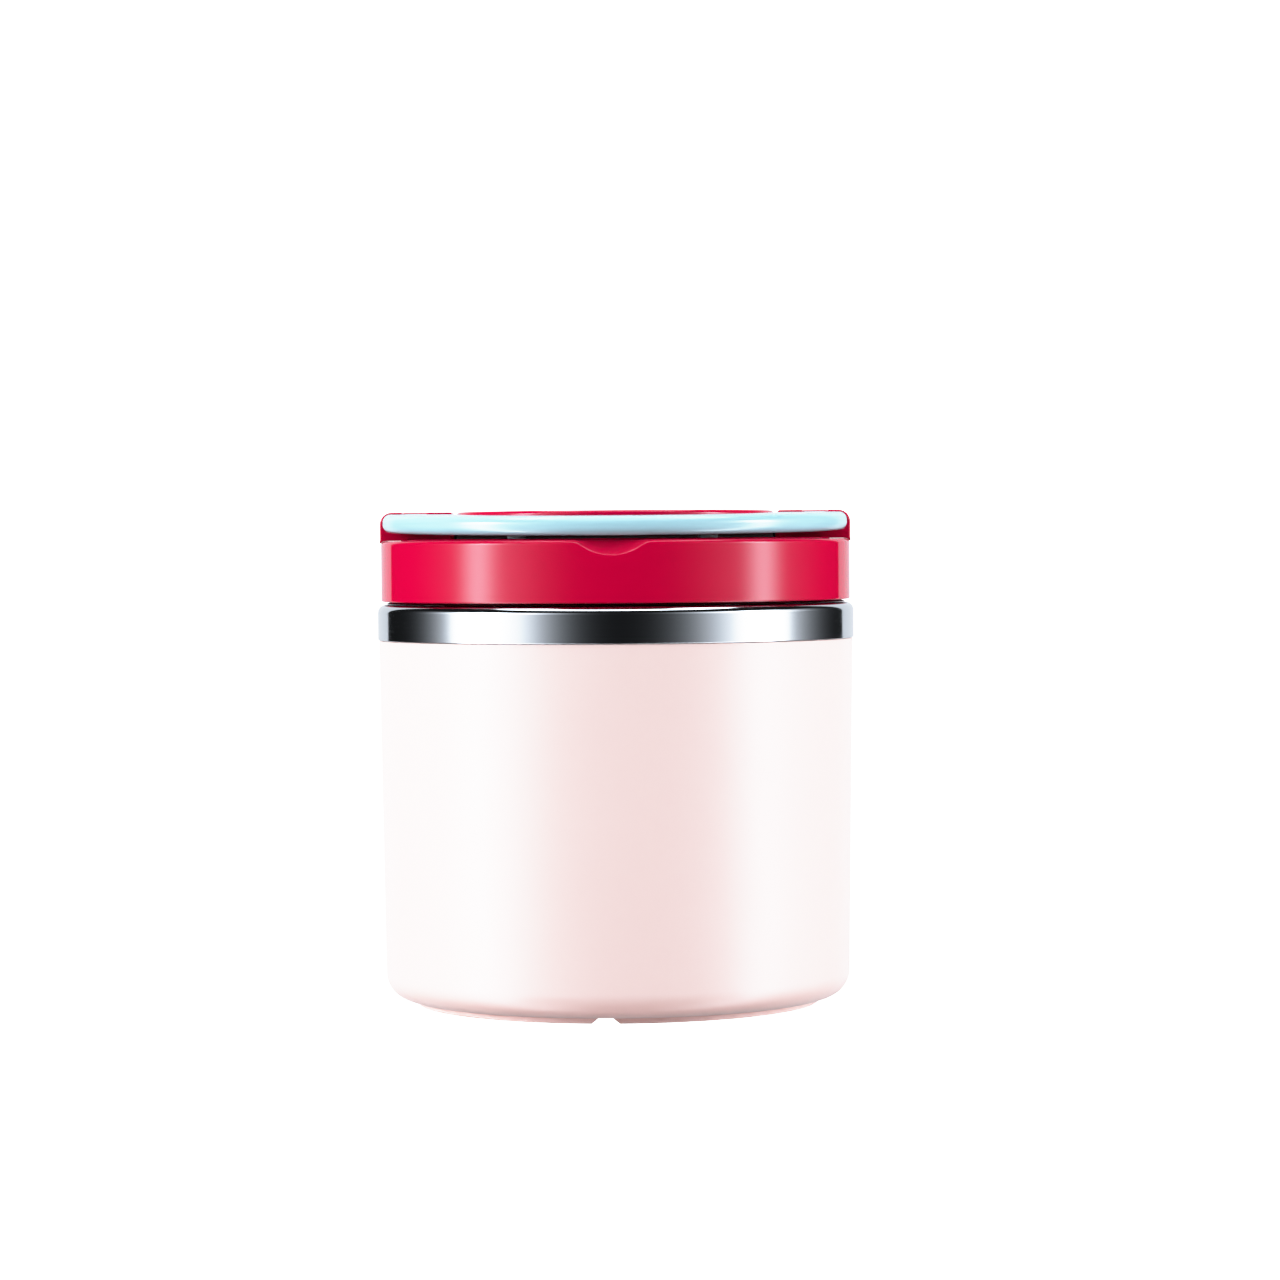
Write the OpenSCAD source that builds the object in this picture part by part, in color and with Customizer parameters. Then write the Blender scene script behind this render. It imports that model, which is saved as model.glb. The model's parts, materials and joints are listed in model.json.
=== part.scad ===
// Hand-turned ice cream maker with a pre-frozen bowl, a lift-off lid and a folding bail handle.
// Millimetres, +Z up, front at -Y, origin at the centre of the foot.

/* [Overall] */
// Outside diameter of the steel rim, the widest part
rim_dia = 151.6; // [140:0.2:165]
// Height of the shoulder where the body meets the steel rim
body_top = 115.7; // [100:0.1:130]
// Diameter of the lid's outside wall
lid_dia = 149.3; // [140:0.1:160]
// Diameter across the cap's two side cheeks
cap_dia = 150; // [140:0.1:160]

/* [Body] */
// Diameter of the body at its shoulder
body_dia = 150.8; // [140:0.2:160]
// How much each side leans in toward the foot, degrees
body_draft = 0.8; // [0:0.1:2]
// Radius of the rounded bottom edge
body_corner = 8; // [4:0.5:14]
// Wall thickness of the body
body_wall = 2.4; // [1.6:0.1:4]
// Height of the foot ring below the body
foot_height = 2; // [1:0.1:4]
// Outside diameter of the foot ring
foot_dia = 128; // [110:1:140]
// Width of the foot ring, inside to outside
foot_width = 6; // [4:0.5:10]
// Width of a foot notch at the floor
notch_width = 7.3; // [4:0.1:12]
// Number of foot notches
notch_count = 4; // [2:1:8]
// Turn of the foot notches about the axis, degrees
notch_turn = -2.6; // [-10:0.1:10]

/* [Freezer bowl] */
// Height of the steel rim band
rim_height = 11.25; // [8:0.05:16]
// Radius of the rim's upper outside edge
rim_edge = 2.6; // [1:0.1:4]
// Sheet thickness of the steel rim
rim_sheet = 1.2; // [0.8:0.1:2]
// Inside diameter of the bowl
bowl_bore = 106.6; // [90:0.2:112]
// Thickness of the coolant between the bowl walls
coolant_gap = 8; // [5:0.5:10]
// Inner wall of the bowl
bowl_wall = 1.5; // [1:0.1:2.5]

/* [Lid] */
// Height of the lid's outside wall
lid_height = 19.2; // [15:0.1:26]
// Shadow gap between the steel rim and the lid wall
shadow_gap = 0.9; // [0.7:0.1:3]
// Radius of the lid's upper outside edge
lid_edge = 1.4; // [0.5:0.1:3]
// Width of the thumb scoop at the lid's upper edge
scoop_width = 25; // [15:0.5:35]
// Height of the thumb scoop on the lid wall
scoop_drop = 4.6; // [3:0.1:8]
// How far the thumb scoop reaches into the lid
scoop_depth = 5; // [2:0.1:6]

/* [Cap and handle] */
// Height of the cap above the lid
cap_height = 9; // [7:0.1:12]
// Diameter of the raised centre of the cap
hub_dia = 101.2; // [90:0.2:110]
// Slit between the raised centre and each side cheek
cheek_slit = 1.2; // [0.8:0.1:3]
// Front-to-back length of each side cheek
cheek_length = 15; // [12:0.5:20]
// Radius of the cheeks' upper outside edge
cheek_edge = 3.8; // [2:0.1:5]
// Outside diameter of the folded handle
handle_dia = 148.6; // [140:0.2:150]
// Thickness of the handle
handle_thick = 5.8; // [4:0.1:6]
// Drop of the folded handle toward the front, degrees
handle_tilt = 1.3; // [0:0.1:3]
// Diameter of the pivot pins
pin_dia = 3.1; // [2:0.1:4]

/* [Drive] */
// Diameter of the drive shaft
shaft_dia = 10; // [8:0.5:14]
// Width across the flats of the shaft's hexagon end
hex_width = 7; // [5:0.1:8]

/* [Hidden] */
$fn = 128;

// colours
body_pink = [0.93, 0.80, 0.80];
foot_pink = [0.80, 0.62, 0.60];
crimson = [0.80, 0.02, 0.20];
dark_red = [0.38, 0.01, 0.08];
light_blue = [0.62, 0.85, 0.90];
steel = [0.75, 0.76, 0.78];
polished = [0.85, 0.86, 0.88];
foam_grey = [0.85, 0.85, 0.82];
soft_white = [0.92, 0.92, 0.90];
seal_grey = [0.55, 0.56, 0.58];
gel_blue = [0.45, 0.65, 0.85];

// fits
fit = 0.1;
rim_gap = 0.15;
seat = 0.05;
slack = 0.3;
run = 0.05;
cut = 1;

// housing levels
body_r = body_dia / 2;
rim_r = rim_dia / 2;
lid_r = lid_dia / 2;
cap_r = cap_dia / 2;
foot_r = foot_dia / 2;
shell_bottom = foot_height;
draft_run = (body_top - shell_bottom) * tan(body_draft);
body_low_r = body_r - draft_run;
floor_thick = 2.6;
shell_floor = shell_bottom + floor_thick;
base_hole_r = 38;
base_plate_r = 50;
base_screw_r = 44;
foot_pegs = 4;
peg_r = 2;

// bowl, from the bore outward
bore_r = bowl_bore / 2;
inner_r = bore_r + bowl_wall;
coolant_r = inner_r + coolant_gap;
bowl_skin = 1.2;
outer_r = coolant_r + bowl_skin;
bowl_bottom = 10;
bowl_floor = 24;
rim_bottom = body_top + rim_gap;
rim_top = rim_bottom + rim_height;
flange_thick = 3;
flange_r = 61;
flange_bottom = rim_top - flange_thick;
coolant_top = flange_bottom - 6;
plug_hole_r = 5;
plug_head_r = 7;
plug_offset = 30;
key_count = 4;
key_turn = 45;
key_r0 = 67;
key_r1 = 71.5;
key_width = 9;
key_drop = 2.8;

// liner
liner_r = outer_r + 0.5;
liner_wall = 1.5;
liner_out_r = liner_r + liner_wall;
liner_floor_top = 8.5;
liner_floor_low = liner_floor_top - liner_wall;
liner_flange_top = body_top - seat;
liner_flange_low = liner_flange_top - 4.5;
cushion_r = 50;
cushion_width = 10;

// lid levels
plate_bottom = rim_top + slack;
lid_bottom = rim_top + shadow_gap;
lid_top = lid_bottom + lid_height;
lid_wall = 3.2;
lid_in_r = lid_r - lid_wall;
recess_depth = 2.8;
recess_r = 68.7;
recess_floor = lid_top - recess_depth;
roof_thick = 3;
roof_low = recess_floor - roof_thick;
plate_thick = 3;
plate_top = plate_bottom + plate_thick;
flare_low_r = 73.2;
flare_top_r = 71.2;
spigot_r = lid_in_r - fit;
plug_r = bore_r - 0.7;
plug_wall = 4;
plug_low = 112;
seal_level = 119;
seal_section = 1.3;
seal_gap = 0.35;
tube_r = 11.5;
tube_low = 118;
bush_r = 8;
bush_head_r = 13;
bush_head_thick = 2;
seal_height = 3;
glide_r0 = 58;
glide_r1 = 64;
glide_groove = 1;
glide_thick = 1.3;
lug_count = 3;
lug_turn = 90;
lug_r0 = 56.5;
lug_r1 = 59.5;
lug_width = 6;
lug_drop = 1.3;
lug_slack = 0.5;
lid_screw_count = 4;
lid_screw_r = 60;
lid_boss_r = 4;
screw_r = 1.5;
screw_head_r = 3;
screw_head_thick = 1.6;

// scoop: a ball whose trace on the lid wall is a round-bottomed notch
scoop_half = scoop_width / 2;
scoop_trace_r = (pow(scoop_half, 2) + pow(scoop_drop, 2)) / (2 * scoop_drop);
scoop_out = (pow(scoop_half, 2) - pow(scoop_depth, 2)) / (2 * scoop_depth);
scoop_ball_r = sqrt(pow(scoop_trace_r, 2) + pow(scoop_out, 2));
scoop_z = lid_top - scoop_drop + scoop_trace_r;

// cap
cap_low = lid_top + slack;
cap_top = lid_top + cap_height + 0.1;
cap_plate_low = recess_floor + 0.6;
cap_plate_top = lid_top + 0.4;
cap_plate_r = recess_r - 0.5;
hub_r = hub_dia / 2;
hub_wall = 2.5;
hub_edge = 1.2;
cheek_in = hub_r + cheek_slit;
cheek_half = cheek_length / 2;
cheek_low = lid_top - 0.6;
boss_r = 11;
cover_r = 18;
cover_thick = 1.2;
cover_pocket = 2.6;
rib_count = 8;
rib_thick = 2;

// handle
handle_r = handle_dia / 2;
handle_in_r = 53;
handle_half = handle_thick / 2;
handle_below = 0.4;
pivot_z = cap_top - handle_below - handle_half;
handle_back = cheek_half + 1.2;
handle_round = 2.6;
handle_tip = 3;
arm_in = 60;
arm_out = 67;
arm_mid = (arm_in + arm_out) / 2;
slot_side = 0.4;
slot_low = pivot_z - handle_half - 0.7;
web_top = pivot_z - 2;
web_setback = 1;
slot_back = handle_half + 0.5;
pin_r = pin_dia / 2;
pin_start = cheek_in + 2;
pin_end = 71.5;
bumper_turn = 28;
bumper_ring_r = 62;
bumper_r = 3;
bumper_y = -bumper_ring_r * cos(bumper_turn);
bumper_top = pivot_z - handle_half - slack + (bumper_y - bumper_r) * tan(handle_tilt);

// drive
shaft_r = shaft_dia / 2;
hex_r = hex_width / sqrt(3);
hex_slack = 0.35;
hex_low = 101;
hex_top = 115.5;
square_width = 7;
square_low = 147;
square_top = 152;
clip_low = 116.4;
clip_thick = 1;
clip_r = 7.4;
groove_r = 4.2;
thread_low = 144;

// dasher
dash_low = 28;
dash_top = 106;
dash_r = 47;
blade_thick = 3.6;
bar_reach = 43;
blade_depth = 13;
bar_height = 7;
dash_hub_r = 9;
dash_hub_top = 111.5;
socket_r = 6.5;
socket_low = 100;
pin_stem_r = 4;
pin_stem_top = 35;
scraper_out = bore_r - 0.5;
scraper_in = 44.5;
scraper_thick = 1.2;
inner_blade_r = 24;

// Takes a rounded outside corner off a profile: sx and sz say which way the corner points.
module corner(x, z, sx, sz, r) {
  translate([x - sx * r, z - sz * r])
    difference() {
      translate([sx > 0 ? 0 : -r - cut, sz > 0 ? 0 : -r - cut])
        square(r + cut);
      circle(r);
    }
}

// A plain ring between two radii and two levels.
module ring(r0, r1, z0, z1) {
  rotate_extrude()
    translate([r0, z0])
      square([r1 - r0, z1 - z0]);
}

// A round bar between two levels.
module bar(r, z0, z1) {
  translate([0, 0, z0])
    cylinder(r = r, h = z1 - z0);
}

// A block given by its low and high corners.
module block(low, high) {
  translate(low)
    cube(high - low);
}

// Repeats its children about the axis.
module around(count, first = 0) {
  for (i = [0 : count - 1])
    rotate([0, 0, first + i * 360 / count])
      children();
}

// ---- housing ----

module outer_shell() {
  inner_top = body_r - body_wall;
  inner_low = inner_top - (body_top - shell_floor) * tan(body_draft);
  inner_corner = body_corner - body_wall;
  lean_out = body_corner * (tan(body_draft) - 1 / cos(body_draft));
  lean_in = inner_corner * (tan(body_draft) - 1 / cos(body_draft));
  color(body_pink)
    difference() {
      rotate_extrude()
        difference() {
          polygon([
            [base_hole_r, shell_bottom],
            [body_low_r, shell_bottom],
            [body_r, body_top],
            [0, body_top],
            [0, shell_floor],
            [base_hole_r, shell_floor]
          ]);
          drafted_corner(body_low_r + lean_out, shell_bottom + body_corner, body_corner);
          difference() {
            polygon([
              [0, shell_floor],
              [inner_low, shell_floor],
              [inner_top, body_top],
              [inner_top, body_top + cut],
              [0, body_top + cut]
            ]);
            drafted_corner(inner_low + lean_in, shell_floor + inner_corner, inner_corner);
          }
        }
      around(3, 30)
        translate([base_screw_r, 0, 0])
          bar(screw_r + seat, shell_bottom - cut, shell_floor + cut);
      around(foot_pegs, 45)
        translate([foot_r - foot_width / 2, 0, 0])
          bar(peg_r + seat, shell_bottom - cut, shell_floor - 0.8);
    }
}

// Takes a rounded corner off between the floor and a leaning wall, from the rounding's centre.
module drafted_corner(x, z, r) {
  reach = r + cut;
  translate([x, z])
    difference() {
      polygon([
        [0, 0],
        [0, -reach],
        [reach, -reach],
        [reach, -reach * tan(body_draft)]
      ]);
      circle(r);
    }
}

module foot_ring() {
  color(foot_pink) {
    difference() {
      rotate_extrude()
        difference() {
          translate([foot_r - foot_width, 0])
            square([foot_width, shell_bottom - seat]);
          corner(foot_r, 0, 1, -1, 0.6);
        }
      around(notch_count, notch_turn - 90)
        notch();
    }
    around(foot_pegs, 45)
      translate([foot_r - foot_width / 2, 0, 0])
        bar(peg_r, 0.5, shell_floor - 1);
  }
}

// A sloping-sided notch through the foot, open at the floor.
module notch() {
  half = notch_width / 2;
  height = shell_bottom - 0.4;
  lean = 1.2;
  translate([foot_r + cut, 0, 0])
    rotate([90, 0, -90])
      linear_extrude(height = foot_width + 2 * cut)
        polygon([
          [-half - 0.5, -cut],
          [half + 0.5, -cut],
          [half - lean, height],
          [lean - half, height]
        ]);
}

module base_plate() {
  color(foot_pink)
    difference() {
      union() {
        bar(base_plate_r, 0.7, shell_bottom - seat);
        bar(base_hole_r - fit, 0.7, shell_floor);
      }
      bar(base_hole_r - 4, shell_bottom, shell_floor + cut);
      around(3, 30)
        translate([base_screw_r, 0, 0]) {
          bar(screw_r + seat, 0, shell_bottom + cut);
          bar(screw_head_r + fit, 0, 1.3);
        }
    }
}

// A cross-head screw pointing up, head at the bottom.
module screw_up(z_head, z_tip, head_thick = screw_head_thick) {
  difference() {
    union() {
      bar(screw_head_r, z_head, z_head + head_thick);
      bar(screw_r, z_head, z_tip);
    }
    for (a = [0, 90])
      rotate([0, 0, a])
        block([-1.6, -0.4, z_head - cut], [1.6, 0.4, z_head + head_thick * 0.6]);
  }
}

module base_screw(i) {
  color(steel)
    rotate([0, 0, 30 + (i - 1) * 120])
      translate([base_screw_r, 0, 0])
        screw_up(0.4, shell_floor + 0.6, 0.85);
}

module insulation() {
  skin_top = body_r - body_wall - fit;
  z_low = shell_floor + 0.7;
  z_high = liner_flange_low - fit;
  low_r = skin_top - (body_top - z_low) * tan(body_draft) - 0.2;
  high_r = skin_top - (body_top - z_high) * tan(body_draft);
  color(foam_grey)
    rotate_extrude()
      difference() {
        polygon([
          [0, z_low],
          [low_r - 6, z_low],
          [low_r, z_low + 6],
          [high_r, z_high],
          [liner_out_r + fit, z_high],
          [liner_out_r + fit, liner_floor_low - fit],
          [0, liner_floor_low - fit]
        ]);
      }
}

module inner_liner() {
  flange_out = body_r - body_wall - fit;
  color(soft_white)
    difference() {
      rotate_extrude()
        polygon([
          [0, liner_floor_low],
          [liner_out_r, liner_floor_low],
          [liner_out_r, liner_flange_low],
          [flange_out - 0.1, liner_flange_low],
          [flange_out, liner_flange_top],
          [liner_r, liner_flange_top],
          [liner_r, liner_floor_top],
          [0, liner_floor_top]
        ]);
      around(key_count, key_turn)
        block(
          [key_r0 - slack, -key_width / 2 - slack, liner_flange_top - key_drop - 0.4],
          [key_r1 + slack, key_width / 2 + slack, liner_flange_top + cut]
        );
    }
}

module bowl_cushion() {
  color(seal_grey)
    ring(cushion_r - cushion_width, cushion_r, liner_floor_top, bowl_bottom - slack);
}

// ---- freezer bowl ----

module bowl_rim() {
  color(polished)
    rotate_extrude()
      difference() {
        translate([flange_r + seat, rim_bottom])
          square([rim_r - flange_r - seat, rim_height]);
        corner(rim_r, rim_top, 1, 1, rim_edge);
        difference() {
          translate([0, rim_bottom - cut])
            square([rim_r - rim_sheet, rim_height + cut - rim_sheet]);
          corner(rim_r - rim_sheet, rim_top - rim_sheet, 1, 1, rim_edge - rim_sheet);
        }
      }
}

module rim_core() {
  core_r = rim_r - rim_sheet - fit;
  core_top = rim_top - rim_sheet - fit;
  color(soft_white) {
    rotate_extrude()
      difference() {
        translate([outer_r + seat, rim_bottom])
          square([core_r - outer_r - seat, core_top - rim_bottom]);
        corner(core_r, core_top, 1, 1, rim_edge - rim_sheet);
      }
    around(key_count, key_turn)
      block(
        [key_r0, -key_width / 2, rim_bottom - key_drop],
        [key_r1, key_width / 2, rim_bottom + cut]
      );
  }
}

module bowl_inner() {
  floor_round = 6;
  color(polished)
    difference() {
      rotate_extrude()
        difference() {
          union() {
            difference() {
              translate([0, bowl_floor])
                square([inner_r, rim_top - bowl_floor]);
              corner(inner_r, bowl_floor, 1, -1, floor_round + bowl_wall);
            }
            translate([bore_r, flange_bottom])
              square([flange_r - bore_r, flange_thick]);
          }
          difference() {
            translate([0, bowl_floor + bowl_wall])
              square([bore_r, rim_top + cut - bowl_floor]);
            corner(bore_r, bowl_floor + bowl_wall, 1, -1, floor_round);
          }
        }
      around(lug_count, lug_turn)
        block(
          [lug_r0 - lug_slack, -lug_width / 2 - lug_slack, plate_bottom - lug_drop - 0.4],
          [lug_r1 + lug_slack, lug_width / 2 + lug_slack, rim_top + cut]
        );
    }
}

module bowl_outer() {
  color(polished)
    difference() {
      rotate_extrude()
        difference() {
          translate([0, bowl_bottom])
            square([outer_r, flange_bottom - bowl_bottom - seat]);
          corner(outer_r, bowl_bottom, 1, -1, 5);
          difference() {
            translate([0, bowl_bottom + bowl_skin])
              square([coolant_r, flange_bottom]);
            corner(coolant_r, bowl_bottom + bowl_skin, 1, -1, 5 - bowl_skin);
          }
        }
      translate([plug_offset, 0, 0])
        bar(plug_hole_r, bowl_bottom - cut, bowl_bottom + bowl_skin + cut);
    }
}

module coolant() {
  color(gel_blue)
    difference() {
      rotate_extrude()
        difference() {
          translate([0, bowl_bottom + bowl_skin + seat])
            square([coolant_r - seat, coolant_top - bowl_bottom - bowl_skin]);
          corner(coolant_r - seat, bowl_bottom + bowl_skin + seat, 1, -1, 3.8);
          difference() {
            translate([0, bowl_floor - seat])
              square([inner_r + seat, coolant_top]);
            corner(inner_r + seat, bowl_floor - seat, 1, -1, 7.4);
          }
        }
      translate([plug_offset, 0, 0])
        bar(plug_head_r + fit, bowl_bottom, bowl_bottom + bowl_skin + 2.2);
    }
}

module fill_plug() {
  color(seal_grey)
    translate([plug_offset, 0, 0]) {
      bar(plug_hole_r - 0.02, bowl_bottom + 0.1, bowl_bottom + bowl_skin + 0.5);
      bar(plug_head_r, bowl_bottom + bowl_skin + 0.02, bowl_bottom + bowl_skin + 2);
    }
}

module centre_pin() {
  base = bowl_floor + bowl_wall + 0.02;
  color(polished)
    rotate_extrude()
      polygon([
        [0, base],
        [8, base],
        [8, base + 1],
        [pin_stem_r, base + 1],
        [pin_stem_r, pin_stem_top - 1],
        [pin_stem_r - 1, pin_stem_top],
        [0, pin_stem_top]
      ]);
}

// ---- lid ----

module lid_shell() {
  color(crimson)
    difference() {
      union() {
        difference() {
          rotate_extrude()
            difference() {
              translate([0, lid_bottom])
                square([lid_r, lid_height]);
              corner(lid_r, lid_top, 1, 1, lid_edge);
              corner(lid_r, lid_bottom, 1, -1, 0.5);
              translate([0, recess_floor])
                square([recess_r, recess_depth + cut]);
              translate([0, lid_bottom - cut])
                square([lid_in_r, roof_low - lid_bottom + cut]);
              translate([glide_r0 - fit, recess_floor - glide_groove])
                square([glide_r1 - glide_r0 + 2 * fit, glide_groove + cut]);
            }
          translate([0, -lid_r - scoop_out, scoop_z])
            sphere(scoop_ball_r);
        }
        around(lid_screw_count, 45)
          translate([lid_screw_r, 0, 0])
            bar(lid_boss_r, plate_top + fit, roof_low + cut);
      }
      bar(tube_r + fit, roof_low - cut, recess_floor - bush_head_thick);
      bar(bush_head_r + fit, recess_floor - bush_head_thick - fit, recess_floor + cut);
      around(lid_screw_count, 45)
        translate([lid_screw_r, 0, 0])
          bar(screw_r + 0.02, plate_top - cut, roof_low - 2);
    }
}

module lid_plate() {
  groove = plug_r - bore_r + seal_gap + 2 * seal_section + fit;
  tube_top = recess_floor - bush_head_thick - 0.2;
  color(dark_red)
    difference() {
      union() {
        rotate_extrude()
          difference() {
            polygon([
              [0, plug_low],
              [plug_r, plug_low],
              [plug_r, plate_bottom],
              [flare_low_r, plate_bottom],
              [flare_top_r, lid_bottom - 0.1],
              [spigot_r, lid_bottom - 0.1],
              [spigot_r, plate_top],
              [0, plate_top]
            ]);
            translate([0, plug_low - cut])
              square([plug_r - plug_wall, plate_bottom - plug_low + cut]);
            corner(plug_r, plug_low, 1, -1, 1.5);
            translate([plug_r - groove, seal_level - seal_section - fit])
              square([groove + cut, 2 * (seal_section + fit)]);
          }
        bar(tube_r, tube_low, tube_top);
        around(6)
          block([tube_r - 1, -1, plate_bottom - 5], [plug_r - plug_wall + 1, 1, plate_bottom + 1]);
        around(lug_count, lug_turn)
          block(
            [lug_r0, -lug_width / 2, plate_bottom - lug_drop],
            [lug_r1, lug_width / 2, plate_bottom + cut]
          );
      }
      bar(bush_r + seat, tube_low - cut, tube_top + cut);
      around(lid_screw_count, 45)
        translate([lid_screw_r, 0, 0]) {
          bar(screw_r + fit, plate_bottom - cut, plate_top + cut);
          bar(screw_head_r + fit, plate_bottom - cut, plate_bottom + screw_head_thick);
        }
    }
}

module lid_foam() {
  color(foam_grey)
    ring(tube_r + 0.5, lid_screw_r - lid_boss_r - 0.5, plate_top + fit, roof_low - fit);
}

module lid_seal() {
  color(seal_grey)
    rotate_extrude()
      translate([bore_r - seal_gap - seal_section, seal_level])
        circle(seal_section, $fn = 48);
}

module shaft_bush() {
  head_low = recess_floor - bush_head_thick;
  color(soft_white)
    rotate_extrude()
      polygon([
        [shaft_r + run, tube_low + seal_height + 0.2],
        [bush_r, tube_low + seal_height + 0.2],
        [bush_r, head_low],
        [bush_head_r, head_low],
        [bush_head_r, recess_floor],
        [shaft_r + run, recess_floor]
      ]);
}

module shaft_seal() {
  color(seal_grey)
    rotate_extrude()
      polygon([
        [shaft_r + run, tube_low + 0.4],
        [shaft_r + 1.4, tube_low + 1],
        [bush_r, tube_low],
        [bush_r, tube_low + seal_height],
        [shaft_r + run, tube_low + seal_height]
      ]);
}

module glide_ring() {
  color(soft_white)
    ring(glide_r0, glide_r1, recess_floor - glide_groove, recess_floor - glide_groove + glide_thick);
}

module lid_screw(i) {
  color(steel)
    rotate([0, 0, 45 + (i - 1) * 360 / lid_screw_count])
      translate([lid_screw_r, 0, 0])
        screw_up(plate_bottom, roof_low - 3);
}

// ---- rotor ----

module top_cap() {
  pocket_floor = cap_top - cover_pocket;
  color(crimson)
    difference() {
      union() {
        rotate_extrude()
          difference() {
            union() {
              translate([0, cap_plate_low])
                square([hub_r, cap_top - cap_plate_low]);
              translate([0, cap_plate_low])
                square([cap_plate_r, cap_plate_top - cap_plate_low]);
            }
            corner(hub_r, cap_top, 1, 1, hub_edge);
            translate([0, cap_plate_low - cut])
              square([hub_r - hub_wall, cap_top - hub_wall - cap_plate_low + cut]);
          }
        bar(boss_r, cap_plate_low, cap_top - hub_wall + 0.5);
        bar(cover_r + 2, pocket_floor - 2, cap_top - 0.5);
        around(rib_count)
          block(
            [boss_r - 1, -rib_thick / 2, cap_plate_low + 1.5],
            [hub_r - hub_wall + 0.5, rib_thick / 2, cap_top - hub_wall + 0.5]
          );
        for (side = [-1, 1]) {
          cheek(side);
          cheek_web(side);
        }
      }
      bar(cover_r + seat, pocket_floor, cap_top + cut);
      bar(shaft_r + seat, cap_plate_low - cut, square_low + seat);
      block(
        [-square_width / 2 - seat, -square_width / 2 - seat, square_low],
        [square_width / 2 + seat, square_width / 2 + seat, square_top + seat]
      );
      bar(screw_r + seat, square_top - cut, cap_top);
      for (side = [-1, 1])
        slot(side);
    }
}

// A full-height block at the side of the cap that carries one end of the handle.
// Its underside follows the lid's rounded edge, a running clearance away.
module cheek(side) {
  corner_r = lid_r - lid_edge;
  intersection() {
    rotate_extrude()
      difference() {
        translate([0, cheek_low])
          square([cap_r, cap_top - cheek_low]);
        corner(cap_r, cap_top, 1, 1, cheek_edge);
        translate([0, cheek_low - cut])
          square([corner_r, cap_low - cheek_low + cut]);
        translate([corner_r, lid_top - lid_edge])
          circle(lid_edge + slack);
      }
    mirror([side < 0 ? 1 : 0, 0, 0])
      block([cheek_in, -cheek_half, cheek_low - cut], [cap_r + cut, cheek_half, cap_top + cut]);
  }
}

// Joins a cheek to the raised centre across the lower part of the slit between them.
module cheek_web(side) {
  mirror([side < 0 ? 1 : 0, 0, 0])
    block(
      [hub_r - hub_wall / 2, -cheek_half + web_setback, cap_low],
      [cheek_in + web_setback, cheek_half - web_setback, web_top]
    );
}

// The handle arm's slot and the pin bore across it.
module slot(side) {
  mirror([side < 0 ? 1 : 0, 0, 0]) {
    block(
      [arm_in - slot_side, -cheek_half - cut, slot_low],
      [arm_out + slot_side, slot_back, cap_top + cut]
    );
    translate([cheek_in - cut, 0, pivot_z])
      rotate([0, 90, 0])
        cylinder(r = pin_r + 0.01, h = pin_end - cheek_in + cut + 0.2);
  }
}

module hub_cover() {
  color(crimson)
    rotate_extrude()
      difference() {
        translate([0, cap_top - cover_thick])
          square([cover_r, cover_thick]);
        corner(cover_r, cap_top, 1, 1, 0.3);
      }
}

module cap_screw() {
  head_low = cap_top - cover_pocket + 0.02;
  color(steel)
    difference() {
      union() {
        bar(screw_r, thread_low + 1, head_low + 0.2);
        bar(screw_head_r, head_low, head_low + 1.2);
      }
      for (a = [0, 90])
        rotate([0, 0, a])
          block([-1.6, -0.4, head_low + 0.5], [1.6, 0.4, head_low + 2]);
    }
}

module drive_shaft() {
  color(steel)
    difference() {
      union() {
        difference() {
          bar(shaft_r, hex_top, square_low);
          ring(groove_r, shaft_r + cut, clip_low - 0.05, clip_low + clip_thick + 0.05);
        }
        translate([0, 0, hex_low])
          cylinder(r = hex_r, h = hex_top - hex_low + 0.5, $fn = 6);
        block(
          [-square_width / 2, -square_width / 2, square_low - 0.5],
          [square_width / 2, square_width / 2, square_top]
        );
      }
      bar(screw_r + 0.02, thread_low, square_top + cut);
    }
}

module shaft_clip() {
  color(steel)
    difference() {
      ring(groove_r + 0.02, clip_r, clip_low, clip_low + clip_thick);
      block([-2.5, -clip_r - cut, clip_low - cut], [2.5, 0, clip_low + clip_thick + cut]);
    }
}

module pivot_pin(side) {
  color(steel)
    mirror([side < 0 ? 1 : 0, 0, 0])
      translate([pin_start, 0, pivot_z])
        rotate([0, 90, 0])
          cylinder(r = pin_r, h = pin_end - pin_start);
}

module bumper(side) {
  color(seal_grey)
    translate([side * bumper_ring_r * sin(bumper_turn), bumper_y, 0])
      bar(bumper_r, cap_plate_top + 0.02, bumper_top);
}

// ---- handle ----

module bail_handle() {
  color(light_blue)
    translate([0, 0, pivot_z])
      rotate([handle_tilt, 0, 0])
        difference() {
          union() {
            intersection() {
              bail_plate();
              bail_outline();
            }
            for (side = [-1, 1]) {
              block(
                [side * arm_mid - (arm_out - arm_in) / 2, -handle_back - 4, -handle_half],
                [side * arm_mid + (arm_out - arm_in) / 2, 0, handle_half]
              );
              translate([side * arm_mid - (arm_out - arm_in) / 2, 0, 0])
                rotate([0, 90, 0])
                  cylinder(r = handle_half, h = arm_out - arm_in);
            }
          }
          translate([-cap_r, 0, 0])
            rotate([0, 90, 0])
              cylinder(r = pin_r + run, h = cap_dia);
        }
}

// The round-edged ring that the handle is cut from.
module bail_plate() {
  rotate_extrude()
    difference() {
      translate([handle_in_r, -handle_half])
        square([handle_r - handle_in_r, handle_thick]);
      corner(handle_r, handle_half, 1, 1, handle_round);
      corner(handle_r, -handle_half, 1, -1, handle_round);
      corner(handle_in_r, handle_half, -1, 1, 1);
      corner(handle_in_r, -handle_half, -1, -1, 1);
    }
}

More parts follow.
